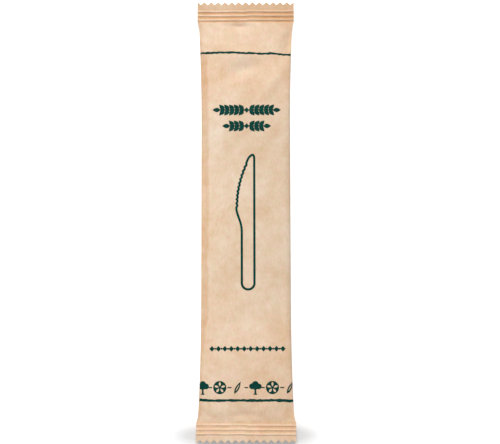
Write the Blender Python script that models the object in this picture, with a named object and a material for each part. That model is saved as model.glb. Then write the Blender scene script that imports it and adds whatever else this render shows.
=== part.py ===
"""A wooden table knife sealed in a kraft paper flow-wrap sleeve, lying on its back.

The sleeve is one web of paper: folded to a tube round the knife, closed by a fin seal down the
back, then pressed flat between ribbed jaws and cut with a zigzag blade at both ends. Nothing
shows of the knife, so the sealed pack is one solid.

X runs across the pack, Y along it, and Z up out of its front. The origin is under the middle of
the pack, on the surface that it lies on. Every size is in metres.
"""

import math

import bmesh
import bpy
from mathutils import Vector

MM = 0.001

# The web of paper and the tube that it makes
LENGTH = 195.0 * MM  # between the tips of the teeth
FLAT_WIDTH = 43.2 * MM  # of the tube where it is pressed flat
BODY_WIDTH = 39.3 * MM  # of the tube where the knife fills it
WEB = 0.12 * MM  # one thickness of coated paper

# The ribbed seal at each end
TOOTH_PITCH = 3.1 * MM
TOOTH_DEPTH = 1.3 * MM
MARGIN = 1.75 * MM  # the plain strip between the teeth and the ribs
RIB_COUNT = 3
RIB_PITCH = 1.9 * MM
TOP_RIB_HEIGHT = 0.55 * MM
BOTTOM_RIB_HEIGHT = 0.41 * MM
RIB_SHARPNESS = 2.0  # 1 is a plain wave, and more has narrower crests
TOP_LIFT = 2.2 * MM  # how high its inner edge hangs over the surface that the pack lies on
BOTTOM_LIFT = 3.5 * MM
SEAL_CURL = 0.7 * MM  # how much higher its tips stand
MIDDLE_Y = -0.25 * MM  # halfway between the end seals: the bottom one is cut a little shorter

# The fin seal down the back, folded over to one side
FIN_WIDTH = 10.0 * MM
FIN_NECK = 2.6 * MM  # the smooth strip beside its root
FIN_LIP = 1.2 * MM  # the smooth strip along its free edge
FIN_TUCK = 1.2 * MM  # how far short of its root the back turns down into it
FIN_GROOVE_PITCH = 1.5 * MM
FIN_GROOVE_WIDTH = 0.9 * MM
FIN_GROOVE_DEPTH = 0.12 * MM

# The pillow between the end seals
FRONT_SWELL = 2.6 * MM  # from the side edges up to the middle of the front
BACK_SWELL = 2.0 * MM  # from the side edges down to the middle of the back
RAMP = 13.0 * MM  # the steeper rise beside a seal
RAMP_SHARE = 0.25  # of the swelling that is done by that rise
TAPER = 50.0 * MM  # how far from a seal the pack has its full section
TUCK_REACH = 2.0 * MM  # how fast the corners pull in beside a seal
TUCK_SHARE = 0.37  # of the narrowing that is done by that tuck
SEAL_SQUARENESS = 3.0  # of the section beside a seal: more has flatter faces
BODY_SQUARENESS = 11.0  # of the full section
EDGE_POWER = 1 / 3  # less has tighter side edges

# The folds of the front near its ends. Each is a long low ridge, or a valley where its rise is
# below 0: x, y, its turn in degrees from across the pack, its length, its spread and its rise.
FOLDS = (
    (-3.0 * MM, 86.9 * MM, 0, 5.4 * MM, 2.2 * MM, -0.75 * MM),  # the dimple under the top seal
    (-11.0 * MM, 77.5 * MM, 12, 7.0 * MM, 4.0 * MM, 0.70 * MM),
    (-2.0 * MM, 73.2 * MM, 0, 8.0 * MM, 3.4 * MM, 1.20 * MM),
    (-1.5 * MM, 65.8 * MM, 20, 8.0 * MM, 3.0 * MM, -1.15 * MM),
    (12.5 * MM, 61.0 * MM, 52, 9.0 * MM, 3.0 * MM, 0.85 * MM),
    (20.4 * MM, 80.5 * MM, 68, 7.5 * MM, 2.6 * MM, -1.60 * MM),  # in from the top right corner
    (-21.0 * MM, 84.0 * MM, 95, 4.0 * MM, 1.6 * MM, -0.70 * MM),
    (-0.6 * MM, -85.6 * MM, 0, 5.0 * MM, 1.8 * MM, -0.60 * MM),  # the dimple over the bottom seal
    (20.4 * MM, -84.5 * MM, 105, 5.0 * MM, 2.4 * MM, -0.90 * MM),
    (-20.8 * MM, -85.0 * MM, 80, 4.5 * MM, 2.0 * MM, -0.70 * MM),
    (9.0 * MM, -82.5 * MM, 20, 5.0 * MM, 2.2 * MM, 0.35 * MM),
    (-12.0 * MM, -83.5 * MM, -15, 6.0 * MM, 2.4 * MM, 0.35 * MM),
)
FOLD_START = 1.6 * MM  # how far from an end seal the folds have their full height

# How finely the curves are cut into faces
RIB_STEPS = 8
TAPER_STEPS = 17
TAPER_CROWDING = 1.8  # 1 spaces the sections evenly, and more crowds them beside the seal
FRONT_COLUMNS = 38
BACK_COLUMNS = 8  # on each side of the fin
EDGE_CROWDING = 0.75  # how much closer the columns stand at the side edges

SEAL = 2 * WEB
FIN_THICKNESS = 2 * WEB
RIBS_START = TOOTH_DEPTH + MARGIN
SEAL_DEPTH = RIBS_START + RIB_COUNT * RIB_PITCH
CUT_SPARE = TOOTH_DEPTH  # web beyond the tips, which the blade takes off

KRAFT_COLOUR = (0.80, 0.60, 0.42, 1.0)
KRAFT_ROUGHNESS = 0.75


def clear_scene():
    for obj in list(bpy.data.objects):
        bpy.data.objects.remove(obj)


def kraft_material():
    material = bpy.data.materials.new("kraft_paper")
    material.use_nodes = True
    shader = material.node_tree.nodes["Principled BSDF"]
    shader.inputs["Base Color"].default_value = KRAFT_COLOUR
    shader.inputs["Roughness"].default_value = KRAFT_ROUGHNESS
    shader.inputs["Metallic"].default_value = 0.0
    return material


def along(depth, reach):
    """How far a depth lies between an end seal and a reach into the pack, from 0 to 1."""
    return min(max((depth - SEAL_DEPTH) / reach, 0.0), 1.0)


def swell(depth):
    """How much of its full swell the pack has at a depth from its end, from 0 to 1."""
    ramp = 1 - (1 - along(depth, RAMP)) ** 1.5
    taper = 1 - (1 - along(depth, TAPER)) ** 2
    return RAMP_SHARE * ramp + (1 - RAMP_SHARE) * taper


def half_width(depth):
    """Half of the pack's width: a quick tuck beside the seal, then a long even taper."""
    tuck = 1 - math.exp(-max(depth - SEAL_DEPTH, 0.0) / TUCK_REACH)
    taper = 1 - (1 - along(depth, TAPER)) ** 2
    narrowing = TUCK_SHARE * tuck + (1 - TUCK_SHARE) * taper
    return (FLAT_WIDTH - (FLAT_WIDTH - BODY_WIDTH) * narrowing) / 2


def rib(depth, side):
    """Height of the ribs that the jaws press into an end seal."""
    into = depth - RIBS_START
    if not 0 < into < RIB_COUNT * RIB_PITCH:
        return 0.0
    height = TOP_RIB_HEIGHT if side > 0 else BOTTOM_RIB_HEIGHT
    return height * ((1 - math.cos(2 * math.pi * into / RIB_PITCH)) / 2) ** RIB_SHARPNESS


def middle_height(depth, side):
    """Height of the side edges: on the filled pack's back, and curling up along the end seals."""
    lying = FIN_THICKNESS + SEAL / 2 + BACK_SWELL
    lift = TOP_LIFT if side > 0 else BOTTOM_LIFT
    curl = SEAL_CURL * (1 - min(max(depth / SEAL_DEPTH, 0.0), 1.0))
    return lift + curl + (lying - lift) * swell(depth) + rib(depth, side)


def face_profile(x, depth):
    """Height of a face over the side edges, as a share of its height in the middle."""
    squareness = SEAL_SQUARENESS + (BODY_SQUARENESS - SEAL_SQUARENESS) * swell(depth)
    share = min(abs(x) / half_width(depth), 1.0)
    return (1 - share**squareness) ** EDGE_POWER


def fold_height(x, y):
    """Height that the folds add to the front."""
    height = 0.0
    for fold_x, fold_y, turn, length, spread, rise in FOLDS:
        cos, sin = math.cos(math.radians(turn)), math.sin(math.radians(turn))
        ahead = (x - fold_x) * cos + (y - fold_y) * sin
        aside = (y - fold_y) * cos - (x - fold_x) * sin
        height += rise * math.exp(-((ahead / length) ** 2) - (aside / spread) ** 2)
    return height


def place_along(depth, side):
    """y at a depth from one end of the web, 1 or -1, before the blade cuts it."""
    return MIDDLE_Y + side * (LENGTH / 2 - depth)


def front_height(x, depth, side):
    """Height of the front at a depth from one end, 1 or -1."""
    folds = along(depth, FOLD_START) * fold_height(x, place_along(depth, side))
    swelling = (FRONT_SWELL * swell(depth) + folds) * face_profile(x, depth)
    return middle_height(depth, side) + SEAL / 2 + swelling


def back_height(x, depth, side):
    """Height of the back, which a deep fold of the front pushes down ahead of it."""
    swelling = BACK_SWELL * swell(depth) * face_profile(x, depth)
    free = middle_height(depth, side) - SEAL / 2 - swelling
    return min(free, front_height(x, depth, side) - SEAL)


def crowded(count, low, high):
    """Numbers from low to high, which are whole, closer together towards 1 and -1."""
    spaced = [low + (high - low) * step / count for step in range(count + 1)]
    return [even + EDGE_CROWDING * math.sin(math.pi * even) / math.pi for even in spaced]


def front_points(depth, side):
    """(x, z) across the front, from the left edge to the right."""
    across = [share * half_width(depth) for share in crowded(FRONT_COLUMNS, -1, 1)]
    return [(x, front_height(x, depth, side)) for x in across]


def back_points(depth, side, edge, foot):
    """(x, z) across the back, from where the fin meets it to the side edge."""
    across = [foot + (edge - foot) * share for share in crowded(BACK_COLUMNS, 0, 1)]
    return [(x, back_height(x, depth, side)) for x in across]


def fin_points(depth, side):
    """(x, z) of the fin's outer face and its crimped grooves, from its root to its free edge."""
    outer = back_height(0.0, depth, side) - FIN_THICKNESS
    points = [(0.0, outer)]
    grooves = int((FIN_WIDTH - FIN_NECK - FIN_LIP) / FIN_GROOVE_PITCH)
    for groove in range(grooves):
        middle = FIN_NECK + (groove + 0.5) * FIN_GROOVE_PITCH
        points.append((middle - FIN_GROOVE_WIDTH / 2, outer))
        points.append((middle, outer + FIN_GROOVE_DEPTH))
        points.append((middle + FIN_GROOVE_WIDTH / 2, outer))
    points.append((FIN_WIDTH, outer))
    return points


def section(depth, side):
    """(x, z) once round the pack: over the front, down the right edge and back beneath."""
    half = half_width(depth)
    right = back_points(depth, side, half, FIN_WIDTH)
    left = back_points(depth, side, -half, -FIN_TUCK)
    return front_points(depth, side) + right[::-1] + fin_points(depth, side)[::-1] + left


def depths():
    """Where one end gets a section, from its spare web to the end of its taper."""
    found = [-CUT_SPARE, RIBS_START]
    for step in range(1, RIB_COUNT * RIB_STEPS + 1):
        found.append(RIBS_START + RIB_PITCH * step / RIB_STEPS)
    for step in range(1, TAPER_STEPS + 1):
        found.append(SEAL_DEPTH + TAPER * (step / TAPER_STEPS) ** TAPER_CROWDING)
    return [depth for depth in found if depth < LENGTH / 2]


def skin(mesh, rings):
    """Faces between each two neighbouring rings of points, and a cap on each end."""
    rows = [[mesh.verts.new(point) for point in ring] for ring in rings]
    for near, far in zip(rows, rows[1:]):
        for here in range(len(near)):
            after = (here + 1) % len(near)
            mesh.faces.new((near[here], near[after], far[after], far[here]))
    mesh.faces.new(rows[0])
    mesh.faces.new(rows[-1][::-1])
    bmesh.ops.recalc_face_normals(mesh, faces=mesh.faces)


def add_object(name, mesh, material=None):
    data = bpy.data.meshes.new(name)
    mesh.to_mesh(data)
    mesh.free()
    obj = bpy.data.objects.new(name, data)
    bpy.context.scene.collection.objects.link(obj)
    if material:
        data.materials.append(material)
    return obj


def zigzag(side):
    """(x, y) round what the blade takes off one end, 1 or -1: its teeth point out of the pack."""
    teeth = round(FLAT_WIDTH / TOOTH_PITCH)
    tooth_width = FLAT_WIDTH / teeth
    outer = LENGTH / 2 + 2 * CUT_SPARE
    tip = LENGTH / 2
    root = tip - TOOTH_DEPTH
    start = -FLAT_WIDTH / 2 - tooth_width / 2
    outline = [(start, outer)]
    for tooth in range(teeth + 1):
        outline.append((start + tooth * tooth_width, root))
        outline.append((start + (tooth + 0.5) * tooth_width, tip))
    outline.append((start + (teeth + 1) * tooth_width, root))
    outline.append((start + (teeth + 1) * tooth_width, outer))
    return [(x, side * y) for x, y in outline]


def make_blade(name, side):
    """The zigzag blade's cut at one end, as a solid taller than the pack."""
    reach = 2 * (FRONT_SWELL + BACK_SWELL + BOTTOM_LIFT)
    mesh = bmesh.new()
    face = mesh.faces.new([mesh.verts.new((x, y, -reach)) for x, y in zigzag(side)])
    grown = bmesh.ops.extrude_face_region(mesh, geom=[face])
    raised = [item for item in grown["geom"] if isinstance(item, bmesh.types.BMVert)]
    bmesh.ops.translate(mesh, verts=raised, vec=Vector((0, 0, 2 * reach)))
    bmesh.ops.recalc_face_normals(mesh, faces=mesh.faces)
    blade = add_object(name, mesh)
    blade.hide_render = True
    blade.display_type = "WIRE"
    return blade


def make_sleeve():
    """The sealed pack, skinned over its sections from one end to the other and then cut."""
    rings = []
    for depth in depths():
        rings.append([(x, place_along(depth, -1), z) for x, z in section(depth, -1)])
    for depth in reversed(depths()):
        rings.append([(x, place_along(depth, 1), z) for x, z in section(depth, 1)])
    mesh = bmesh.new()
    skin(mesh, rings)
    sleeve = add_object("sealed_sleeve", mesh, kraft_material())
    for name, side in (("blade_bottom", -1), ("blade_top", 1)):
        cut = sleeve.modifiers.new(name, "BOOLEAN")
        cut.operation = "DIFFERENCE"
        cut.object = make_blade(name, side)
    sleeve.data.shade_smooth()
    sleeve.data.set_sharp_from_angle(angle=math.radians(40))
    return sleeve


def main():
    clear_scene()
    make_sleeve()


main()
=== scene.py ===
"""The look of a wooden table knife sealed in a printed kraft paper flow-wrap sleeve.

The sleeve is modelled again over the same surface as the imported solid, finely enough for its
folds, ribs and teeth. The fin seal down its back is a strip of its own, and the print is thin
films of ink on the paper. X runs across the pack, Y along it and Z up out of its front.
"""

import math

import bmesh
import bpy
import numpy as np
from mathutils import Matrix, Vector
from mathutils.geometry import delaunay_2d_cdt


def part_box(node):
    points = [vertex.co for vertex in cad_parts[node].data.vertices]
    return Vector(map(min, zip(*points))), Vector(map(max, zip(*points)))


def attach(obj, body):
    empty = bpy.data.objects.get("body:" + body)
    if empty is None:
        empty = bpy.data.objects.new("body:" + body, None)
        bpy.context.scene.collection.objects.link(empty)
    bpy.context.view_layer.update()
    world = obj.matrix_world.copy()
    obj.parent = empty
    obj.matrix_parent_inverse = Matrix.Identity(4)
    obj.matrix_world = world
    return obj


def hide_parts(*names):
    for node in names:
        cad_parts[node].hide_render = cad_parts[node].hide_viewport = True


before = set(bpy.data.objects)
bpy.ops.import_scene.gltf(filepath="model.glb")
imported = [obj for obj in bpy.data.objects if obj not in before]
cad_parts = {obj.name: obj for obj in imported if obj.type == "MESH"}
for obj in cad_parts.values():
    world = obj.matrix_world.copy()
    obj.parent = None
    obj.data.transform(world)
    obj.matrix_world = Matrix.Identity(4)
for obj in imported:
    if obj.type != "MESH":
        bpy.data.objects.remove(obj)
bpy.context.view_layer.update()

MM = 0.001
NODE = "sealed_sleeve"
LOW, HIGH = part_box(NODE)

# The web of paper and the tube that it makes
LENGTH = HIGH.y - LOW.y
FLAT_WIDTH = HIGH.x - LOW.x
BODY_WIDTH = 39.3 * MM
WEB = 0.12 * MM
SEAL = 2 * WEB
FIN_THICKNESS = 2 * WEB

# The ribbed seal at each end
TOOTH_PITCH = 3.1 * MM
TOOTH_DEPTH = 1.3 * MM
MARGIN = 1.75 * MM
RIB_COUNT = 3
RIB_PITCH = 1.9 * MM
RIB_HEIGHT = 0.55 * MM
RIB_SHARPNESS = 2.0
BOTTOM_RIB_SHARE = 0.75  # of the top ribs' height
RIB_JOG = 0.22 * MM  # how far the ribs shift where the fin lies under them
RIB_JOG_RUN = 0.3 * MM
RIB_WOBBLE = 0.05 * MM
RIBS_START = TOOTH_DEPTH + MARGIN
SEAL_DEPTH = RIBS_START + RIB_COUNT * RIB_PITCH
TOP_LIFT = 2.2 * MM
BOTTOM_LIFT = 3.5 * MM
SEAL_CURL = 0.7 * MM
MIDDLE_Y = -0.25 * MM  # halfway between the end seals: the bottom one is cut a little shorter

# The pillow between the end seals
BACK_SWELL = 2.0 * MM
FRONT_SWELL = 2.6 * MM
RAMP = 13.0 * MM
RAMP_SHARE = 0.25
TAPER = 50.0 * MM
TUCK_REACH = 2.0 * MM
TUCK_SHARE = 0.37
SEAL_SQUARENESS = 3.0
BODY_SQUARENESS = 11.0
EDGE_POWER = 1 / 3

# The folds of the front near its ends: x, y, turn in degrees, length, spread and rise
FOLDS = (
    (-3.0 * MM, 86.6 * MM, 0, 5.4 * MM, 2.4 * MM, -1.00 * MM),  # the dimple under the top seal
    (-11.0 * MM, 77.5 * MM, 12, 7.0 * MM, 4.0 * MM, 0.70 * MM),
    (-2.0 * MM, 73.2 * MM, 0, 8.0 * MM, 3.4 * MM, 1.20 * MM),
    (-1.5 * MM, 65.8 * MM, 20, 8.0 * MM, 3.0 * MM, -1.15 * MM),
    (12.5 * MM, 61.0 * MM, 52, 9.0 * MM, 3.0 * MM, 0.85 * MM),
    (20.2 * MM, 80.5 * MM, 68, 7.5 * MM, 2.8 * MM, -1.90 * MM),  # in from the top right corner
    (-21.0 * MM, 84.0 * MM, 95, 4.0 * MM, 1.6 * MM, -0.70 * MM),
    (-0.6 * MM, -85.6 * MM, 0, 5.0 * MM, 1.8 * MM, -0.60 * MM),  # the dimple over the bottom seal
    (20.4 * MM, -84.5 * MM, 105, 5.0 * MM, 2.4 * MM, -0.90 * MM),
    (-20.8 * MM, -85.0 * MM, 80, 4.5 * MM, 2.0 * MM, -0.70 * MM),
    (9.0 * MM, -82.5 * MM, 20, 5.0 * MM, 2.2 * MM, 0.35 * MM),
    (-12.0 * MM, -83.5 * MM, -15, 6.0 * MM, 2.4 * MM, 0.35 * MM),
)

# Slighter folds between them, in the same terms
SOFT_FOLDS = (
    (-2.0 * MM, 34.0 * MM, 50, 6.0 * MM, 2.0 * MM, -0.20 * MM),
    (14.5 * MM, -42.0 * MM, 86, 15.0 * MM, 2.2 * MM, -0.16 * MM),
    (-4.0 * MM, -38.0 * MM, 15, 6.0 * MM, 3.0 * MM, 0.18 * MM),
    (11.0 * MM, 0.0, 84, 20.0 * MM, 2.5 * MM, -0.12 * MM),
    (-12.0 * MM, 10.0 * MM, 92, 24.0 * MM, 3.0 * MM, 0.08 * MM),
)

FOLD_START = 1.6 * MM  # how far from an end seal the folds have their full height

# The cockle of the paper: soft waves all over, and smaller ones beside the seals
COCKLE_HEIGHT = 0.045 * MM
COCKLE_SIZE = 11.0 * MM
CRINKLE_HEIGHT = 0.014 * MM
CRINKLE_SIZE = 5.0 * MM
PUCKER_HEIGHT = 0.06 * MM
PUCKER_SIZE = 4.5 * MM
PUCKER_REACH = 9.0 * MM

# The fin seal down the back
FIN_WIDTH = 10.0 * MM
FIN_NECK = 2.6 * MM
FIN_LIP = 1.2 * MM
FIN_GROOVE_PITCH = 1.5 * MM
FIN_GROOVE_DEPTH = 0.12 * MM

# How finely the sleeve is cut into faces
COLUMNS_PER_TOOTH = 10
EDGE_CROWDING = 0.88
TOOTH_ROWS = 8
RIB_ROWS = 12
TAPER_ROWS = 80
TAPER_CROWDING = 1.6
MIDDLE_ROWS = 64
SHARP_ANGLE = math.radians(50)

TEETH = round(FLAT_WIDTH / TOOTH_PITCH)


def soft_noise(x, y, size, seed, waves=16):
    """Smooth random heights of about 1 either way, whose bumps are about half of size across."""
    draw = np.random.default_rng(seed)
    total = np.zeros(np.broadcast(x, y).shape)
    for _ in range(waves):
        heading, start = draw.uniform(0, 2 * math.pi, 2)
        rate = 2 * math.pi / (size * draw.uniform(0.7, 1.5))
        total += np.cos(rate * (x * math.cos(heading) + y * math.sin(heading)) + start)
    return total / math.sqrt(waves / 2)


def along(depth, reach):
    """How far a depth lies between an end seal and a reach into the pack, from 0 to 1."""
    return np.clip((depth - SEAL_DEPTH) / reach, 0.0, 1.0)


def swell(depth):
    """How much of its full swell the pack has at a depth from its end, from 0 to 1."""
    ramp = 1 - (1 - along(depth, RAMP)) ** 1.5
    taper = 1 - (1 - along(depth, TAPER)) ** 2
    return RAMP_SHARE * ramp + (1 - RAMP_SHARE) * taper


def half_width(depth):
    """Half of the pack's width: a quick tuck beside the seal, then a long even taper."""
    tuck = 1 - np.exp(-np.maximum(depth - SEAL_DEPTH, 0.0) / TUCK_REACH)
    taper = 1 - (1 - along(depth, TAPER)) ** 2
    narrowing = TUCK_SHARE * tuck + (1 - TUCK_SHARE) * taper
    return (FLAT_WIDTH - (FLAT_WIDTH - BODY_WIDTH) * narrowing) / 2


def rib(x, depth, side):
    """Height of the ribs that the jaws press into an end seal. They step over the fin's edge."""
    shift = RIB_JOG * (1 / (1 + np.exp(-x / RIB_JOG_RUN)) - 0.5)
    shift = shift + RIB_WOBBLE * soft_noise(x, side * LENGTH, 9 * MM, 3)
    phase = (depth - RIBS_START + shift) / RIB_PITCH
    ribbed = (phase > 0) & (phase < RIB_COUNT)
    press = 1 + 0.1 * soft_noise(x, depth + side * LENGTH, 6 * MM, 4)
    wave = ((1 - np.cos(2 * math.pi * phase)) / 2) ** RIB_SHARPNESS
    height = RIB_HEIGHT * np.where(side > 0, 1.0, BOTTOM_RIB_SHARE)
    return np.where(ribbed, height * press * wave, 0.0)


def middle_height(x, depth, side):
    """Height of the side edges: down on the filled pack's back, and lifted at the end seals."""
    lying = FIN_THICKNESS + SEAL / 2 + BACK_SWELL
    lift = np.where(side > 0, TOP_LIFT, BOTTOM_LIFT)
    curl = SEAL_CURL * (1 - np.clip(depth / SEAL_DEPTH, 0, 1))
    return lift + curl + (lying - lift) * swell(depth) + rib(x, depth, side)


def face_profile(x, depth):
    """Height of a face over the side edges, as a share of its height in the middle."""
    squareness = SEAL_SQUARENESS + (BODY_SQUARENESS - SEAL_SQUARENESS) * swell(depth)
    share = np.minimum(np.abs(x) / half_width(depth), 1.0)
    return (1 - share**squareness) ** EDGE_POWER


def fold_height(x, y, folds):
    """Height that folds add to the front: long low ridges, and valleys where the rise is below 0."""
    height = 0.0
    for fold_x, fold_y, turn, length, spread, rise in folds:
        cos, sin = math.cos(math.radians(turn)), math.sin(math.radians(turn))
        ahead = (x - fold_x) * cos + (y - fold_y) * sin
        aside = (y - fold_y) * cos - (x - fold_x) * sin
        height = height + rise * np.exp(-((ahead / length) ** 2) - (aside / spread) ** 2)
    return height


def cockle(x, y, depth):
    """Height of the paper's own unevenness."""
    waves = COCKLE_HEIGHT * soft_noise(x, y / 1.6, COCKLE_SIZE, 1)
    crinkle = CRINKLE_HEIGHT * soft_noise(x, y / 1.4, CRINKLE_SIZE, 8, 24)
    near = np.exp(-np.maximum(depth - SEAL_DEPTH, 0.0) / PUCKER_REACH)
    puckers = PUCKER_HEIGHT * near * soft_noise(x, y, PUCKER_SIZE, 2)
    return waves + crinkle + puckers


def depth_of(y):
    """How far a place lies in from the nearest end of the web, before the blade cuts it."""
    return LENGTH / 2 - np.abs(y - MIDDLE_Y)


def front_height(x, y):
    """Height of the front of the pack."""
    depth = depth_of(y)
    side = np.sign(y)
    swelling = FRONT_SWELL * swell(depth)
    folds = fold_height(x, y, FOLDS + SOFT_FOLDS) + cockle(x, y, depth)
    loose = along(depth, FOLD_START) * folds
    return middle_height(x, depth, side) + SEAL / 2 + (swelling + loose) * face_profile(x, depth)


def back_height(x, y):
    """Height of the back, over the fin: a deep fold of the front pushes it down ahead of it."""
    depth = depth_of(y)
    swelling = BACK_SWELL * swell(depth) * face_profile(x, depth)
    free = middle_height(x, depth, np.sign(y)) - SEAL / 2 - swelling
    return np.minimum(free, front_height(x, y) - SEAL)


def fin_height(x, y):
    """Height of the fin's outer face, with the grooves of its crimp."""
    outer = back_height(np.zeros_like(x), y) - FIN_THICKNESS
    grooves = int((FIN_WIDTH - FIN_NECK - FIN_LIP) / FIN_GROOVE_PITCH)
    phase = (x - FIN_NECK) / FIN_GROOVE_PITCH
    crimped = (phase > 0) & (phase < grooves)
    return outer + np.where(crimped, FIN_GROOVE_DEPTH * (1 - np.cos(2 * math.pi * phase)) / 2, 0)


def cut_depth(x):
    """How deep the zigzag blade cuts into an end at x: 0 at a tooth's tip."""
    tooth = (x / FLAT_WIDTH + 0.5) * TEETH
    return TOOTH_DEPTH * (1 - np.abs(2 * (tooth % 1.0) - 1))


def row_depths():
    """Depths of the rows of points from the end of the teeth's margin to the end of the taper."""
    ribs = RIBS_START + RIB_PITCH * np.arange(RIB_COUNT * RIB_ROWS) / RIB_ROWS
    taper = SEAL_DEPTH + TAPER * (np.arange(TAPER_ROWS) / TAPER_ROWS) ** TAPER_CROWDING
    return np.concatenate([ribs, taper])


def row_places(x_at_end):
    """y of every row of points, from one end to the other, for each column's x at the ends."""
    cut = LENGTH / 2 - cut_depth(x_at_end)
    share = (np.arange(TOOTH_ROWS) / TOOTH_ROWS)[:, None]
    inner = np.repeat(LENGTH / 2 - row_depths()[:, None], len(x_at_end), axis=1)
    reach = LENGTH / 2 - SEAL_DEPTH - TAPER
    middle = np.linspace(-reach, reach, MIDDLE_ROWS + 1)
    rows = [np.repeat(middle[:, None], len(x_at_end), axis=1) + MIDDLE_Y]
    for side in (-1, 1):
        ribs = inner * side + MIDDLE_Y
        teeth = side * cut + (ribs[0] - side * cut) * share
        end = np.concatenate([teeth, ribs])
        rows = [end, *rows] if side < 0 else [*rows, end[::-1]]
    return np.concatenate(rows)


def across(even, y):
    """x of columns that stand evenly from -1 to 1 at the ends and crowd the body's edges."""
    depth = depth_of(y)
    crowding = EDGE_CROWDING * along(depth, RAMP) * np.sin(math.pi * even) / math.pi
    return half_width(depth) * (even + crowding)


def grid_faces(rows, columns, first=0):
    """Corner numbers of the faces between rows of points."""
    start = first + np.arange(rows - 1)[:, None] * columns + np.arange(columns - 1)
    return np.stack([start, start + 1, start + columns + 1, start + columns], -1).reshape(-1, 4)


def add_piece(name, points, faces, material, sharp=SHARP_ANGLE):
    """A smooth-shaded mesh with its faces out, riding on the pack's one body."""
    data = bpy.data.meshes.new(name)
    data.from_pydata([tuple(point) for point in points], [], [tuple(face) for face in faces])
    mesh = bmesh.new()
    mesh.from_mesh(data)
    bmesh.ops.recalc_face_normals(mesh, faces=mesh.faces)
    mesh.to_mesh(data)
    mesh.free()
    data.shade_smooth()
    data.set_sharp_from_angle(angle=sharp)
    data.materials.append(material)
    piece = bpy.data.objects.new(name, data)
    bpy.context.scene.collection.objects.link(piece)
    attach(piece, "root")
    return piece


def closed_sheet(top, bottom):
    """Points and faces of a closed body between two grids of points with the same outline."""
    rows, columns = top.shape[:2]
    points = np.concatenate([top.reshape(-1, 3), bottom.reshape(-1, 3)])
    under = rows * columns
    faces = [grid_faces(rows, columns), grid_faces(rows, columns, under)[:, ::-1]]
    number = np.arange(under).reshape(rows, columns)
    rim = np.concatenate([number[0], number[1:, -1], number[-1, -2::-1], number[-2:0:-1, 0]])
    after = np.roll(rim, -1)
    faces.append(np.stack([after, rim, rim + under, after + under], -1))
    return points, np.concatenate(faces)


def smooth_step(value, low, high):
    share = np.clip((value - low) / (high - low), 0.0, 1.0)
    return share * share * (3 - 2 * share)


# How much darker, browner, smoother, warmer or greyer the paper is, each from 0 to 1: the jaws' real
# darkening, and painted shade and highlights

SEAL_FADE_INNER = 0.4 * MM  # how far into an end seal its tone begins to fade
SEAL_FADE_OUTER = 0.3 * MM  # how far out of it the tone has gone
# The seals' tone: partly the jaws' real darkening, partly painted shade in the grooves and a painted
# highlight on the ribs' crests, all darker at the top end
PRESSED_TONE = 0.65
GROOVE_PAINTED_SHADE = 0.2  # darker than that in the grooves
CREST_PAINTED_HIGHLIGHT = 0.6  # lighter than that on the crests
TOP_PRESSED_AND_SHADED = 0.9
BOTTOM_PRESSED_AND_SHADED = 0.2
FIN_PRESSED = 0.7
# Painted shade in the grooves, at the bottom end as a share of the top
BOTTOM_GROOVE_SHADE = 0.6
# Painted shade along the left edge of the body
EDGE_SHADE_WIDTH = 0.5 * MM
EDGE_SHADE_BODY_WIDTH = 2.2 * MM  # added to it along the body
EDGE_SHADE_FADE = 1.6 * MM
EDGE_SHADE_STRENGTH = 0.75
# Painted shade: the paper darker and warmer towards the right
RIGHT_SHADE_REACH = 16 * MM
GREYED_Y = 5 * MM
GREYED_START = 65 * MM  # from GREYED_Y
GREYED_FULL = 25 * MM


def groove(y):
    """1 in the grooves between the ribs, -1 on the ribs' crests and 0 off them."""
    phase = (depth_of(y) - RIBS_START) / RIB_PITCH
    return np.where((phase > 0) & (phase < RIB_COUNT), np.cos(2 * math.pi * phase), 0.0)


def sealed(y):
    """1 in the end seals and 0 between them, with a soft edge."""
    return 1 - smooth_step(depth_of(y), SEAL_DEPTH - SEAL_FADE_INNER, SEAL_DEPTH + SEAL_FADE_OUTER)


def pressed_and_shaded(y):
    """How much the heated jaws have darkened the paper, with painted shade in the grooves and a
    painted highlight on the crests: more at the top.
    """
    tone = PRESSED_TONE + groove(y) * np.where(groove(y) > 0, GROOVE_PAINTED_SHADE, CREST_PAINTED_HIGHLIGHT)
    return sealed(y) * tone * np.where(y > 0, TOP_PRESSED_AND_SHADED, BOTTOM_PRESSED_AND_SHADED)


def groove_shade(y):
    """Painted shade: how much browner the paper is in the grooves between the ribs, less at the
    bottom.
    """
    phase = (depth_of(y) - RIBS_START) / RIB_PITCH
    ribbed = (phase > 0.25) & (phase < RIB_COUNT + 0.25)
    return ribbed * (1 + groove(y)) / 2 * np.where(y > 0, 1.0, BOTTOM_GROOVE_SHADE)


def polished(y):
    """How much smoother the jaws have left the ribs."""
    return np.maximum(-groove(y), 0.0)


def left_edge_shade(x, y):
    """Painted shade along the left edge: how much darker the paper is there, off the seals."""
    body = smooth_step(y, -70 * MM, -30 * MM) * (1 - smooth_step(y, 70 * MM, 76 * MM))
    waver = 0.25 * MM * soft_noise(y, y, 16 * MM, 5)
    start = EDGE_SHADE_WIDTH + EDGE_SHADE_BODY_WIDTH * body + waver - 0.3 * MM
    inward = x + half_width(depth_of(y))
    strength = EDGE_SHADE_STRENGTH + 0.25 * body + 0.12 * soft_noise(y, y, 9 * MM, 7)
    return (1 - smooth_step(inward, start, start + EDGE_SHADE_FADE)) * strength * (1 - sealed(y))


def right_side_shade(x):
    """Painted shade: how much darker and warmer the paper is towards the right."""
    return smooth_step(x, -RIGHT_SHADE_REACH, RIGHT_SHADE_REACH)


def greyed(y):
    """How much greyer the paper is between its ends."""
    return 1 - smooth_step(np.abs(y - GREYED_Y), GREYED_FULL, GREYED_START)


def paint(piece, name, values):
    """Gives every point of a piece a number, which its material reads by name."""
    layer = piece.data.attributes.new(name, "FLOAT", "POINT")
    layer.data.foreach_set("value", np.asarray(values, np.float32).ravel())


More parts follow.
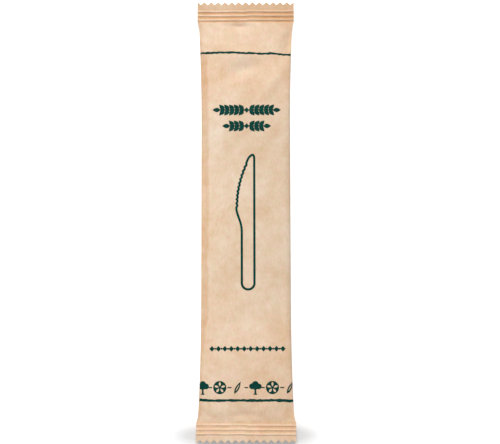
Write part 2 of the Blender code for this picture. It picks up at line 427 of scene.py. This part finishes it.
def make_sleeve(material):
    """The sealed tube, front and back, as one closed body."""
    even = np.linspace(-1, 1, TEETH * COLUMNS_PER_TOOTH + 1)
    y = row_places(even * FLAT_WIDTH / 2)
    x = across(even, y)
    top = np.stack([x, y, front_height(x, y)], -1)
    bottom = np.stack([x, y, back_height(x, y)], -1)
    points, faces = closed_sheet(top, bottom)
    sleeve = add_piece("paper_sleeve", points, faces, material)
    paint(sleeve, "pressed_and_shaded", pressed_and_shaded(points[:, 1]))
    paint(sleeve, "groove_shade", groove_shade(points[:, 1]))
    paint(sleeve, "polished", polished(points[:, 1]))
    paint(sleeve, "left_edge_shade", left_edge_shade(points[:, 0], points[:, 1]))
    paint(sleeve, "right_side_shade", right_side_shade(points[:, 0]))
    paint(sleeve, "greyed", greyed(points[:, 1]))
    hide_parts(NODE)
    return sleeve


# The fin seal down the back

FIN_COLUMNS = 60
FIN_TUCK = 1.2 * MM  # how far before its root the fin comes out of the back
FIN_SINK = 0.1 * MM
FIN_WAVER = 0.12 * MM  # of its free edge


def fin_face(x, y):
    """Height of the fin's outer face, from where it comes out of the back."""
    buried = back_height(x, y) + FIN_SINK / 2
    return buried + (fin_height(x, y) - buried) * smooth_step(x, -FIN_TUCK, 0.0)


def make_fin(material):
    """The fin seal, folded flat under the back, whose free edge shows its two plies."""
    even = np.linspace(-FIN_TUCK / FIN_WIDTH, 1, FIN_COLUMNS + 1)
    columns = even * FIN_WIDTH
    y = row_places(columns)
    waver = FIN_WAVER * soft_noise(y, y, 17 * MM, 6)
    x = np.broadcast_to(columns, y.shape) + waver * (even > 0.99)
    top = np.stack([x, y, back_height(x, y) + FIN_SINK], -1)
    bottom = np.stack([x, y, fin_face(x, y)], -1)
    points, faces = closed_sheet(top, bottom)
    fin = add_piece("fin_seal", points, faces, material)
    paint(fin, "pressed_and_shaded", np.full(len(points), FIN_PRESSED))
    return fin


# The print, laid out flat on the web and wrapped round the pack. A place on the web is (u, y),
# and u runs across the paper from the middle of the front. Its left half goes on to the fin's
# free edge, and its right half ends under the fin.

INK_LIFT = 0.025 * MM
INK_GRID = 0.45 * MM
INK_STEP = 0.5 * MM  # the longest straight piece of a shape's edge
GIRTH_STEPS = 160


def half_girth(y, side):
    """(x, z) of points round half of the web at each y, from the front's middle to its end."""
    even = np.linspace(0, 1, GIRTH_STEPS) * np.ones_like(y)[:, None]
    y = y[:, None] * np.ones_like(even)
    x = side * across(even, y)
    front = np.stack([x, front_height(x, y)], -1)
    under = back_height(x, y) if side > 0 else np.minimum(back_height(x, y), fin_face(x, y))
    back = np.stack([x, under], -1)[:, ::-1]
    if side > 0:
        return np.concatenate([front, back], 1)
    fin_x = FIN_WIDTH * even[:, 1:]
    fin = np.stack([fin_x, fin_face(fin_x, y[:, 1:])], -1)
    return np.concatenate([front, back, fin], 1)


def wrapped(places, lift):
    """Points of the web's places on the pack's surface, raised off it by a lift."""
    places = np.asarray(places, float)
    points = np.zeros((len(places), 3))
    for side in (-1, 1):
        chosen = places[:, 0] * side >= 0
        if not chosen.any():
            continue
        u, y = np.abs(places[chosen, 0]), places[chosen, 1]
        ring = half_girth(y, side)
        steps = np.linalg.norm(np.diff(ring, axis=1), axis=2)
        reach = np.concatenate([np.zeros((len(u), 1)), np.cumsum(steps, axis=1)], 1)
        after = np.clip((reach < u[:, None]).sum(1), 1, ring.shape[1] - 1)
        line = np.arange(len(u))
        run = steps[line, after - 1]
        share = ((u - reach[line, after - 1]) / np.maximum(run, 1e-9))[:, None]
        here, there = ring[line, after - 1], ring[line, after]
        place = here + (there - here) * share
        tangent = side * (there - here) / np.maximum(run, 1e-9)[:, None]
        points[chosen, 0] = place[:, 0] - tangent[:, 1] * lift
        points[chosen, 1] = y
        points[chosen, 2] = place[:, 1] + tangent[:, 0] * lift
    return points


def inside(places, loop):
    """Which places lie inside a closed loop."""
    x, y = places[:, 0, None], places[:, 1, None]
    loop = np.asarray(loop)
    x0, y0 = loop[:, 0], loop[:, 1]
    x1, y1 = np.roll(x0, -1), np.roll(y0, -1)
    spans = (y0 > y) != (y1 > y)
    rise = np.where(y1 == y0, 1.0, y1 - y0)
    crossing = x0 + (y - y0) * (x1 - x0) / rise
    return (spans & (x < crossing)).sum(1) % 2 == 1


def inked(places, solids, holes):
    """Which places lie in one of the solid loops and in none of the holes."""
    found = np.zeros(len(places), bool)
    for loop in solids:
        found |= inside(places, loop)
    for loop in holes:
        found &= ~inside(places, loop)
    return found


def short_steps(loop):
    """A closed loop with points added, until none stand farther apart than the ink's step."""
    points = []
    for here, there in zip(loop, np.roll(loop, -1, axis=0)):
        count = max(1, math.ceil(np.linalg.norm(there - here) / INK_STEP))
        points += [here + (there - here) * step / count for step in range(count)]
    return np.array(points)


def flat_triangles(solids, holes):
    """Places and triangles that fill the solid loops without the holes, small enough to bend."""
    loops = [short_steps(np.asarray(loop, float)) for loop in solids + holes]
    corners = np.concatenate(loops)
    low, high = corners.min(0), corners.max(0)
    lattice = np.stack(np.meshgrid(*(np.arange(a, b, INK_GRID) for a, b in zip(low, high))), -1)
    lattice = lattice.reshape(-1, 2)
    lattice = lattice[inked(lattice, solids, holes)]
    edges = []
    first = 0
    for loop in loops:
        number = np.arange(first, first + len(loop))
        edges += list(zip(number.tolist(), np.roll(number, -1).tolist()))
        first += len(loop)
    spots = [Vector(place) / MM for place in np.concatenate([corners, lattice]).tolist()]
    found = delaunay_2d_cdt(spots, edges, [], 0, 1e-5)
    places = np.array([tuple(spot) for spot in found[0]]) * MM
    triangles = np.array(found[2])
    middles = places[triangles].mean(1)
    triangles = triangles[inked(middles, solids, holes)]
    used, numbered = np.unique(triangles, return_inverse=True)
    return places[used], numbered.reshape(triangles.shape)


def rim_of(triangles):
    """Pairs of corner numbers along the open edges of triangles, each in its face's direction."""
    pairs = np.concatenate([triangles[:, [0, 1]], triangles[:, [1, 2]], triangles[:, [2, 0]]])
    known = {tuple(pair) for pair in pairs.tolist()}
    return np.array([pair for pair in pairs.tolist() if (pair[1], pair[0]) not in known])


def add_print(name, material, solids, holes=()):
    """A thin closed film of ink on the paper."""
    places, triangles = flat_triangles(list(solids), list(holes))
    points = np.concatenate([wrapped(places, INK_LIFT), wrapped(places, -INK_LIFT)])
    under = len(places)
    rim = rim_of(triangles)
    walls = np.stack([rim[:, 1], rim[:, 0], rim[:, 0] + under, rim[:, 1] + under], -1)
    faces = triangles.tolist() + (triangles[:, ::-1] + under).tolist() + walls.tolist()
    return add_piece(name, points, faces, material)


# Loops of the print's shapes


def turned(loop, centre, turn=0.0):
    """A loop drawn round (0, 0), turned and put in its place."""
    loop = np.asarray(loop)
    cos, sin = math.cos(turn), math.sin(turn)
    x = loop[:, 0] * cos - loop[:, 1] * sin + centre[0]
    y = loop[:, 0] * sin + loop[:, 1] * cos + centre[1]
    return np.stack([x, y], -1)


def disc(centre, radius, steps=40):
    angle = np.arange(steps) * 2 * math.pi / steps
    return turned(radius * np.stack([np.cos(angle), np.sin(angle)], -1), centre)


def leaf(centre, length, width, turn=0.0, steps=14):
    """A leaf with a point at each end, fuller towards its stalk."""
    share = np.linspace(0, 1, steps)
    x = (share - 0.5) * length
    edge = width / 2 * np.sin(math.pi * share**0.8)
    one_side = np.stack([x, edge], -1)
    other_side = np.stack([x, -edge], -1)[::-1]
    return turned(np.concatenate([one_side, other_side[1:-1]]), centre, turn)


def dash(centre, length, width, turn=0.0, steps=8):
    """A bar with round ends."""
    angle = np.linspace(-math.pi / 2, math.pi / 2, steps)
    cap = width / 2 * np.stack([np.cos(angle), np.sin(angle)], -1)
    reach = np.array([(length - width) / 2, 0])
    return turned(np.concatenate([cap + reach, -cap - reach]), centre, turn)


def lozenge(centre, width, height):
    half = [(width / 2, 0), (0, height / 2), (-width / 2, 0), (0, -height / 2)]
    return turned(half, centre)


# The print's places and sizes

PRINT_LEFT = -FLAT_WIDTH - FIN_WIDTH + 0.4 * MM  # at the fin's free edge
PRINT_RIGHT = FLAT_WIDTH - 0.6 * MM  # at the fin's root, under it

RULE_RUN = 0.5 * MM  # between the points along a rule
RULE_JAG = 0.05 * MM
RULE_WOBBLE = 0.11 * MM
RULE_SWELL = 0.12  # of its width, either way
TOP_RULE_Y = 73.75 * MM
TOP_RULE_WIDTH = 0.92 * MM
BOTTOM_RULE_Y = -79.35 * MM
BOTTOM_RULE_WIDTH = 1.08 * MM

UPPER_SPRIG = (0.4 * MM, 48.0 * MM, 5)  # x, y and the pairs of leaves on each side
LOWER_SPRIG = (0.4 * MM, 40.8 * MM, 3)
SPRIG_MIDDLE = (2.2 * MM, 2.585 * MM)
SPRIG_START = 1.5 * MM
SPRIG_PITCH = 2.15 * MM
SPRIG_LEAF = (3.3 * MM, 1.95 * MM)
SPRIG_LEAF_SHIFT = (0.95 * MM, 1.25 * MM)  # of a leaf's middle from where its stalk starts
SPRIG_LEAN = math.radians(48)
SPRIG_TIP = (3.4 * MM, 2.0 * MM)
SPRIG_TIP_SHIFT = 1.2 * MM
SPRIG_STEM = 0.7 * MM

BEADS_X = 0.6 * MM
BEAD_Y = -57.1 * MM
BEAD_COUNT = 12
BEAD_PITCH = 2.8 * MM
BEAD_SIZE = (2.3 * MM, 2.5 * MM)
BEAD_DOT = 0.42 * MM

BORDER_Y = -73.8 * MM
BORDER_PERIOD = 22.8 * MM
ROSETTE_X = -11.4 * MM
ROSETTE_RADIUS = 2.85 * MM
ROSETTE_REACH = 5.2 * MM  # with its two dashes
PETAL_COUNT = 5
PETAL_RING = 1.45 * MM
PETAL = (1.9 * MM, 0.95 * MM)
LEAF_SHIFT = 7.7 * MM  # from the rosette to its left
LEAF_REACH = 1.7 * MM
LEAF_SIZE = (6.0 * MM, 1.7 * MM)
LEAF_VEIN = (3.4 * MM, 0.4 * MM)
LEAF_LEAN = math.radians(62)
TREE_SHIFT = 15.4 * MM
TREE_REACH = 4.7 * MM  # with its dash
BORDER_DASH = 0.5 * MM


def rule_loop(y, width, drift, seed):
    """A rule drawn by hand, once round the pack: it drifts, wobbles and swells."""
    u = RULE_RUN * np.arange(math.ceil(PRINT_LEFT / RULE_RUN), math.floor(PRINT_RIGHT / RULE_RUN))
    jag = RULE_JAG * soft_noise(u, u, 2.6 * MM, seed + 2)
    line = y + drift * u + RULE_WOBBLE * soft_noise(u, u, 14 * MM, seed) + jag
    thick = width * (1 + RULE_SWELL * soft_noise(u, u, 4 * MM, seed + 1))
    upper = np.stack([u, line + thick / 2], -1)
    lower = np.stack([u, line - thick / 2], -1)[::-1]
    return np.concatenate([upper, lower])


def sprig(centre, y, pairs):
    """Loops of two leafy twigs that part from a bead in the middle."""
    loops = [lozenge((centre, y), *SPRIG_MIDDLE)]
    for side in (-1, 1):
        for pair in range(pairs):
            stalk = centre + side * (SPRIG_START + pair * SPRIG_PITCH)
            for up in (-1, 1):
                turn = up * (SPRIG_LEAN if side > 0 else math.pi - SPRIG_LEAN)
                middle = (stalk + side * SPRIG_LEAF_SHIFT[0], y + up * SPRIG_LEAF_SHIFT[1])
                loops.append(leaf(middle, *SPRIG_LEAF, turn))
        tip = centre + side * (SPRIG_START + pairs * SPRIG_PITCH)
        end = (tip + side * SPRIG_TIP_SHIFT, y)
        loops.append(leaf(end, *SPRIG_TIP, 0 if side > 0 else math.pi))
        stem = (centre + tip) / 2
        loops.append(dash((stem, y), abs(tip - centre), SPRIG_STEM))
    return loops


def bead_row():
    """Loops of a row of lozenges with a dot between each two."""
    loops = []
    start = BEADS_X - (BEAD_COUNT - 1) * BEAD_PITCH / 2
    for bead in range(BEAD_COUNT):
        x = start + bead * BEAD_PITCH
        loops.append(lozenge((x, BEAD_Y), *BEAD_SIZE))
        if bead + 1 < BEAD_COUNT:
            loops.append(disc((x + BEAD_PITCH / 2, BEAD_Y), BEAD_DOT, 16))
    return loops


def smooth_path(points, steps=10):
    """A curve through points, as a Catmull-Rom spline."""
    points = np.asarray(points, float)
    padded = np.concatenate([[2 * points[0] - points[1]], points, [2 * points[-1] - points[-2]]])
    share = np.linspace(0, 1, steps, endpoint=False)[:, None]
    runs = []
    for a, b, c, d in zip(padded, padded[1:], padded[2:], padded[3:]):
        bend = (2 * a - 5 * b + 4 * c - d) * share**2 + (3 * b - a - 3 * c + d) * share**3
        runs.append(b + 0.5 * ((c - a) * share + bend))
    return np.concatenate(runs + [points[-1:]])


KNIFE_LINE = 1.02 * MM
KNIFE_BACK_X = 3.7 * MM
KNIFE_GRIP_X = -1.8 * MM
KNIFE_END_Y = -31.4 * MM
KNIFE_TIP_Y = 27.9 * MM
KNIFE_EDGE_TOP = (0.2 * MM, 24.2 * MM)
KNIFE_EDGE_BOTTOM = (-4.2 * MM, 4.6 * MM)
KNIFE_NECK_Y = -6.5 * MM
KNIFE_SCALLOPS = 11
KNIFE_SCALLOP_DEPTH = 0.42 * MM


def knife_path():
    """The outline of a table knife, from its tip down its back and up its serrated edge."""
    radius = (KNIFE_BACK_X - KNIFE_GRIP_X) / 2
    turn = np.linspace(0, -math.pi, 24)
    end = np.stack([np.cos(turn), np.sin(turn)], -1) * radius
    end += ((KNIFE_BACK_X + KNIFE_GRIP_X) / 2, KNIFE_END_Y + radius)
    rise = np.linspace(0, 1, 14)[1:]
    ease = rise * rise * (3 - 2 * rise)
    neck_x = KNIFE_GRIP_X + (KNIFE_EDGE_BOTTOM[0] - KNIFE_GRIP_X) * ease**1.3
    neck_y = KNIFE_NECK_Y + (KNIFE_EDGE_BOTTOM[1] - KNIFE_NECK_Y) * rise
    share = np.linspace(0, 1, KNIFE_SCALLOPS * 8 + 1)[1:]
    edge_x = KNIFE_EDGE_BOTTOM[0] + (KNIFE_EDGE_TOP[0] - KNIFE_EDGE_BOTTOM[0]) * share**2.1
    edge_x += KNIFE_SCALLOP_DEPTH * np.abs(np.sin(math.pi * KNIFE_SCALLOPS * share))
    edge_y = KNIFE_EDGE_BOTTOM[1] + (KNIFE_EDGE_TOP[1] - KNIFE_EDGE_BOTTOM[1]) * share
    tip = smooth_path([
        KNIFE_EDGE_TOP,
        (1.15 * MM, 26.4 * MM),
        (2.3 * MM, 27.6 * MM),
        (3.05 * MM, KNIFE_TIP_Y),
        (3.42 * MM, 27.5 * MM),
        (KNIFE_BACK_X, 26.8 * MM),
    ])
    back = np.array([(KNIFE_BACK_X, KNIFE_END_Y + radius)])
    grip = np.array([(KNIFE_GRIP_X, KNIFE_NECK_Y)])
    neck = np.stack([neck_x, neck_y], -1)
    edge = np.stack([edge_x, edge_y], -1)
    return np.concatenate([tip, back, end[1:], grip, neck, edge[:-1]])


def stroke(path, width):
    """The outer and the inner loop of a line of a width along a closed path that runs clockwise."""
    ahead = np.roll(path, -1, axis=0) - path
    ahead /= np.linalg.norm(ahead, axis=1)[:, None]
    behind = np.roll(ahead, 1, axis=0)
    along_path = ahead + behind
    along_path /= np.linalg.norm(along_path, axis=1)[:, None]
    outward = np.stack([-along_path[:, 1], along_path[:, 0]], -1) * width / 2
    return path + outward, path - outward


def tree(centre):
    """Loops of a tree: a crown of discs on a trunk that spreads at its foot."""
    x, y = centre
    crown = [(-1.45, 0.55, 1.25), (1.45, 0.5, 1.25), (0.0, 1.3, 1.5), (-0.1, 0.3, 1.3)]
    loops = [disc((x + a * MM, y + b * MM), r * MM, 28) for a, b, r in crown]
    trunk = [(-0.35, 0.3), (-0.4, -2.4), (-0.9, -3.1), (0.9, -3.1), (0.4, -2.4), (0.35, 0.3)]
    loops.append(turned(np.array(trunk) * MM, centre))
    return loops


def rosette(centre):
    """A disc, and the petals that are left bare in it."""
    petals = []
    for petal in range(PETAL_COUNT):
        turn = math.pi / 2 + petal * 2 * math.pi / PETAL_COUNT
        middle = (centre[0] + PETAL_RING * math.cos(turn), centre[1] + PETAL_RING * math.sin(turn))
        petals.append(leaf(middle, *PETAL, turn + math.pi))
    return disc(centre, ROSETTE_RADIUS), petals


def on_web(x, reach):
    """Whether a motif of the border, as wide as reach either way, lies whole on the web."""
    return PRINT_LEFT < x - reach and x + reach < PRINT_RIGHT


def border():
    """Loops and holes of the border: rosettes, leaves and trees, with dashes between them."""
    solids = []
    holes = []
    for repeat in range(-2, 3):
        x = ROSETTE_X + repeat * BORDER_PERIOD
        leaf_x = x + LEAF_SHIFT
        tree_x = x + TREE_SHIFT
        if on_web(x, ROSETTE_REACH):
            round_one, petals = rosette((x, BORDER_Y))
            solids.append(round_one)
            holes += petals
            solids.append(dash((x - 4.1 * MM, BORDER_Y), 1.7 * MM, BORDER_DASH))
            solids.append(dash((x + 4.2 * MM, BORDER_Y), 1.9 * MM, BORDER_DASH))
        if on_web(leaf_x, LEAF_REACH):
            solids.append(leaf((leaf_x, BORDER_Y), *LEAF_SIZE, LEAF_LEAN))
            holes.append(leaf((leaf_x, BORDER_Y), *LEAF_VEIN, LEAF_LEAN))
        if on_web(tree_x, TREE_REACH):
            solids += tree((tree_x, BORDER_Y))
            solids.append(dash((tree_x - 3.9 * MM, BORDER_Y), 1.6 * MM, BORDER_DASH))
    return solids, holes


def print_pack(material):
    """All of the print, each group of shapes as one film."""
    add_print("top_rule", material, [rule_loop(TOP_RULE_Y, TOP_RULE_WIDTH, -0.02, 21)])
    add_print("bottom_rule", material, [rule_loop(BOTTOM_RULE_Y, BOTTOM_RULE_WIDTH, 0.0, 31)])
    add_print("upper_sprig", material, sprig(*UPPER_SPRIG))
    add_print("lower_sprig", material, sprig(*LOWER_SPRIG))
    outer, inner = stroke(knife_path(), KNIFE_LINE)
    add_print("knife_outline", material, [outer], [inner])
    add_print("bead_row", material, bead_row())
    add_print("border", material, *border())


# Materials

PAPER_LIGHT = (0.87, 0.71, 0.58, 1.0)
PAPER_DARK = (0.71, 0.455, 0.265, 1.0)
PAPER_PINK = (1.03, 0.99, 1.0, 1.0)
PAPER_YELLOW = (0.985, 1.01, 0.94, 1.0)
# The seals' tint: the jaws' darkening, with painted shade and highlights on the ribs
PAPER_PRESSED_AND_SHADED = (0.86, 0.735, 0.60, 1.0)
# Painted shade: the brown of the grooves between the ribs
PAPER_GROOVE_SHADE = (1.04, 0.90, 0.74, 1.0)
# Painted shade towards the right: darker and warmer
PAPER_RIGHT_SHADE = (0.95, 0.92, 0.88, 1.0)
PAPER_GREYED = (0.885, 0.92, 0.94, 1.0)
# Painted shade along the left edge
PAPER_EDGE_SHADE = (0.89, 0.79, 0.69, 1.0)
INK_GREEN = (0.0012, 0.042, 0.032, 1.0)
INK_THIN = (0.008, 0.07, 0.055, 1.0)


class Look:
    """A material's nodes, which are made and joined a few at a time."""

    def __init__(self, name):
        self.material = bpy.data.materials.new(name)
        self.material.use_nodes = True
        self.tree = self.material.node_tree
        self.shader = self.tree.nodes["Principled BSDF"]
        self.places = self.tree.nodes.new("ShaderNodeTexCoord").outputs["Object"]

    def join(self, value, socket):
        if isinstance(value, bpy.types.NodeSocket):
            self.tree.links.new(value, socket)
        else:
            socket.default_value = value

    def noise(self, size, detail=2.0, stretch=(1, 1, 1), shift=0.0):
        """Noise from 0 to 1 whose bumps are about half of size across, drawn out by stretch."""
        spread = self.tree.nodes.new("ShaderNodeMapping")
        spread.inputs["Scale"].default_value = [1 / (size * draw) for draw in stretch]
        spread.inputs["Location"].default_value = (shift, shift, shift)
        self.join(self.places, spread.inputs["Vector"])
        node = self.tree.nodes.new("ShaderNodeTexNoise")
        node.inputs["Scale"].default_value = 1.0
        node.inputs["Detail"].default_value = detail
        self.join(spread.outputs["Vector"], node.inputs["Vector"])
        return node.outputs["Fac"]

    def math(self, operation, first, second=0.0):
        node = self.tree.nodes.new("ShaderNodeMath")
        node.operation = operation
        self.join(first, node.inputs[0])
        self.join(second, node.inputs[1])
        return node.outputs["Value"]

    def spread(self, value, low, high, start=0.0, end=1.0):
        """value moved from the range low to high onto start to end, and kept there."""
        node = self.tree.nodes.new("ShaderNodeMapRange")
        self.join(value, node.inputs["Value"])
        for name, number in zip(("From Min", "From Max", "To Min", "To Max"), (low, high, start, end)):
            self.join(number, node.inputs[name])
        return node.outputs["Result"]

    def mix(self, share, first, second, blend="MIX"):
        node = self.tree.nodes.new("ShaderNodeMix")
        node.data_type = "RGBA"
        node.blend_type = blend
        self.join(share, node.inputs["Factor"])
        self.join(first, node.inputs["A"])
        self.join(second, node.inputs["B"])
        return node.outputs["Result"]

    def attribute(self, name):
        node = self.tree.nodes.new("ShaderNodeAttribute")
        node.attribute_name = name
        return node.outputs["Fac"]

    def bump(self, height, distance, strength=1.0):
        node = self.tree.nodes.new("ShaderNodeBump")
        node.inputs["Distance"].default_value = distance
        node.inputs["Strength"].default_value = strength
        self.join(height, node.inputs["Height"])
        self.join(node.outputs["Normal"], self.shader.inputs["Normal"])


def kraft_paper():
    """Coated kraft: soft blotches, fine fibres along the web, darker where it was pressed, and painted
    shade and highlights.
    """
    look = Look("kraft_paper_look")
    blotches = look.noise(14 * MM, 2.0)
    clouds = look.noise(3.2 * MM, 3.0, shift=3.0)
    fibres = look.noise(0.55 * MM, 3.0, stretch=(1, 3, 1), shift=7.0)
    tone = look.math("MULTIPLY", blotches, 0.4)
    tone = look.math("ADD", tone, look.math("MULTIPLY", clouds, 0.3))
    tone = look.math("ADD", tone, look.math("MULTIPLY", fibres, 0.3))
    colour = look.mix(look.spread(tone, 0.3, 0.7), PAPER_DARK, PAPER_LIGHT)
    hue = look.spread(look.noise(2.6 * MM, 2.0, shift=11.0), 0.35, 0.65)
    colour = look.mix(1.0, colour, look.mix(hue, PAPER_YELLOW, PAPER_PINK), "MULTIPLY")
    # Tints read by attribute: the seals' darkening with painted shade and highlights on the ribs, and
    # painted shade in the grooves, along the left edge and towards the right
    tints = {
        "pressed_and_shaded": PAPER_PRESSED_AND_SHADED,
        "groove_shade": PAPER_GROOVE_SHADE,
        "left_edge_shade": PAPER_EDGE_SHADE,
        "right_side_shade": PAPER_RIGHT_SHADE,
        "greyed": PAPER_GREYED,
    }
    for name, tint in tints.items():
        colour = look.mix(look.attribute(name), colour, look.mix(1.0, colour, tint, "MULTIPLY"))
    look.join(colour, look.shader.inputs["Base Color"])
    dull = look.spread(clouds, 0.3, 0.7, 0.66, 0.78)
    dull = look.math("SUBTRACT", dull, look.math("MULTIPLY", look.attribute("polished"), 0.3))
    look.join(dull, look.shader.inputs["Roughness"])
    look.bump(fibres, 0.02 * MM, 0.6)
    return look.material


def green_ink():
    """Flexographic ink, a little thinner in specks."""
    look = Look("green_ink")
    specks = look.spread(look.noise(0.5 * MM, 2.0), 0.55, 0.72)
    patches = look.spread(look.noise(4 * MM, 2.0, shift=5.0), 0.4, 0.7, 0.0, 0.5)
    thin = look.math("MAXIMUM", look.math("MULTIPLY", specks, 0.6), patches)
    look.join(look.mix(thin, INK_GREEN, INK_THIN), look.shader.inputs["Base Color"])
    look.shader.inputs["Roughness"].default_value = 0.7
    look.shader.inputs["Specular IOR Level"].default_value = 0.06
    return look.material


# The floor, the lights and the camera

SKY_LIGHT = 0.12  # and 1, which is white, where the camera sees it
FLOOR_SIZE = 4.0
FLOOR_TONE = 0.82
FLOOR_GLOW = 0.55
SHADE_GLOW = 0.0  # round the pack's bottom end, where dropping the glow paints a soft shadow over the pack's own
SHADE_Y = -94.6 * MM
SHADE_REACH = (20 * MM, 8.5 * MM)  # to the pack's side and along it
CAMERA_DISTANCE = 0.5
CAMERA_TILT = math.radians(5.70)
CAMERA_ROLL = math.radians(-0.1)
CAMERA_TARGET = Vector((1.8 * MM, -1.66 * MM, 3.0 * MM))
CAMERA_LENS = 81.77

# Each lamp's name, place, size across and along, and power
LAMPS = (
    ("key", (0.0, 0.75, 0.85), (0.38, 0.38), 9.5),
    ("strip", (-0.1, 0.0, 0.06), (0.04, 0.8), 0.33),
    ("right_fill", (0.12, 0.0, 0.02), (0.03, 0.4), 0.055),
    ("top_fill", (0.0, 0.22, 0.1), (0.2, 0.06), 0.04),
    ("bottom_fill", (0.0, -0.2, 0.08), (0.2, 0.06), 0.076),
)


def make_floor():
    """A white floor that glows a little to the camera, but not round the pack's bottom end, where that
    paints a soft shadow over the pack's own.
    """
    look = Look("floor")
    look.shader.inputs["Base Color"].default_value = (FLOOR_TONE, FLOOR_TONE, FLOOR_TONE, 1.0)
    look.shader.inputs["Roughness"].default_value = 0.9
    look.shader.inputs["Specular IOR Level"].default_value = 0.0
    look.shader.inputs["Emission Color"].default_value = (1, 1, 1, 1)
    path = look.tree.nodes.new("ShaderNodeLightPath")
    split = look.tree.nodes.new("ShaderNodeSeparateXYZ")
    look.join(look.places, split.inputs["Vector"])
    # The glow fades out in an ellipse round the pack's bottom end: a painted shadow
    beside = look.math("SUBTRACT", look.math("ABSOLUTE", split.outputs["X"]), FLAT_WIDTH / 2)
    beside = look.math("DIVIDE", look.math("MAXIMUM", beside, 0.0), SHADE_REACH[0])
    beyond = look.math("SUBTRACT", split.outputs["Y"], SHADE_Y)
    beyond = look.math("DIVIDE", beyond, SHADE_REACH[1])
    squares = look.math("ADD", look.math("POWER", beside, 2.0), look.math("POWER", beyond, 2.0))
    glow = look.spread(look.math("SQRT", squares), 0.2, 1.0, SHADE_GLOW, FLOOR_GLOW)
    glow = look.math("MULTIPLY", path.outputs["Is Camera Ray"], glow)
    look.join(glow, look.shader.inputs["Emission Strength"])
    data = bpy.data.meshes.new("floor")
    far = FLOOR_SIZE / 2
    corners = [(-far, -far, 0), (far, -far, 0), (far, far, 0), (-far, far, 0)]
    data.from_pydata(corners, [], [(0, 1, 2, 3)])
    data.materials.append(look.material)
    floor = bpy.data.objects.new("floor", data)
    bpy.context.scene.collection.objects.link(floor)


def aim(obj, place, target):
    """Puts a lamp or the camera in its place, looking at a target."""
    obj.location = place
    obj.rotation_euler = (Vector(target) - Vector(place)).to_track_quat("-Z", "Y").to_euler()


def add_lamp(name, place, size, power):
    """A soft rectangular lamp aimed at the pack: its size is across and along."""
    data = bpy.data.lights.new(name, "AREA")
    data.shape = "RECTANGLE"
    data.size, data.size_y = size
    data.energy = power
    lamp = bpy.data.objects.new(name, data)
    bpy.context.scene.collection.objects.link(lamp)
    aim(lamp, place, (0, 0, 0))


def light_scene():
    """The lamps, and a dim sky that is white where the camera sees it."""
    world = bpy.data.worlds.new("studio")
    world.use_nodes = True
    sky = world.node_tree.nodes["Background"]
    sky.inputs["Color"].default_value = (1, 1, 1, 1)
    path = world.node_tree.nodes.new("ShaderNodeLightPath")
    seen = world.node_tree.nodes.new("ShaderNodeMapRange")
    seen.inputs["To Min"].default_value = SKY_LIGHT
    world.node_tree.links.new(path.outputs["Is Camera Ray"], seen.inputs["Value"])
    world.node_tree.links.new(seen.outputs["Result"], sky.inputs["Strength"])
    bpy.context.scene.world = world
    for lamp in LAMPS:
        add_lamp(*lamp)


def place_camera():
    """The camera over the pack, leaning a little towards its bottom end."""
    data = bpy.data.cameras.new("camera")
    data.lens = CAMERA_LENS
    data.sensor_width = 36
    camera = bpy.data.objects.new("camera", data)
    bpy.context.scene.collection.objects.link(camera)
    back = Vector((0, -math.sin(CAMERA_TILT), math.cos(CAMERA_TILT)))
    aim(camera, CAMERA_TARGET + CAMERA_DISTANCE * back, CAMERA_TARGET)
    camera.rotation_euler.rotate_axis("Z", CAMERA_ROLL)
    data.clip_start = 0.01
    bpy.context.scene.camera = camera


place_camera()
make_floor()
light_scene()
paper = kraft_paper()
make_sleeve(paper)
make_fin(paper)
print_pack(green_ink())

bpy.context.scene.view_settings.view_transform = "Standard"
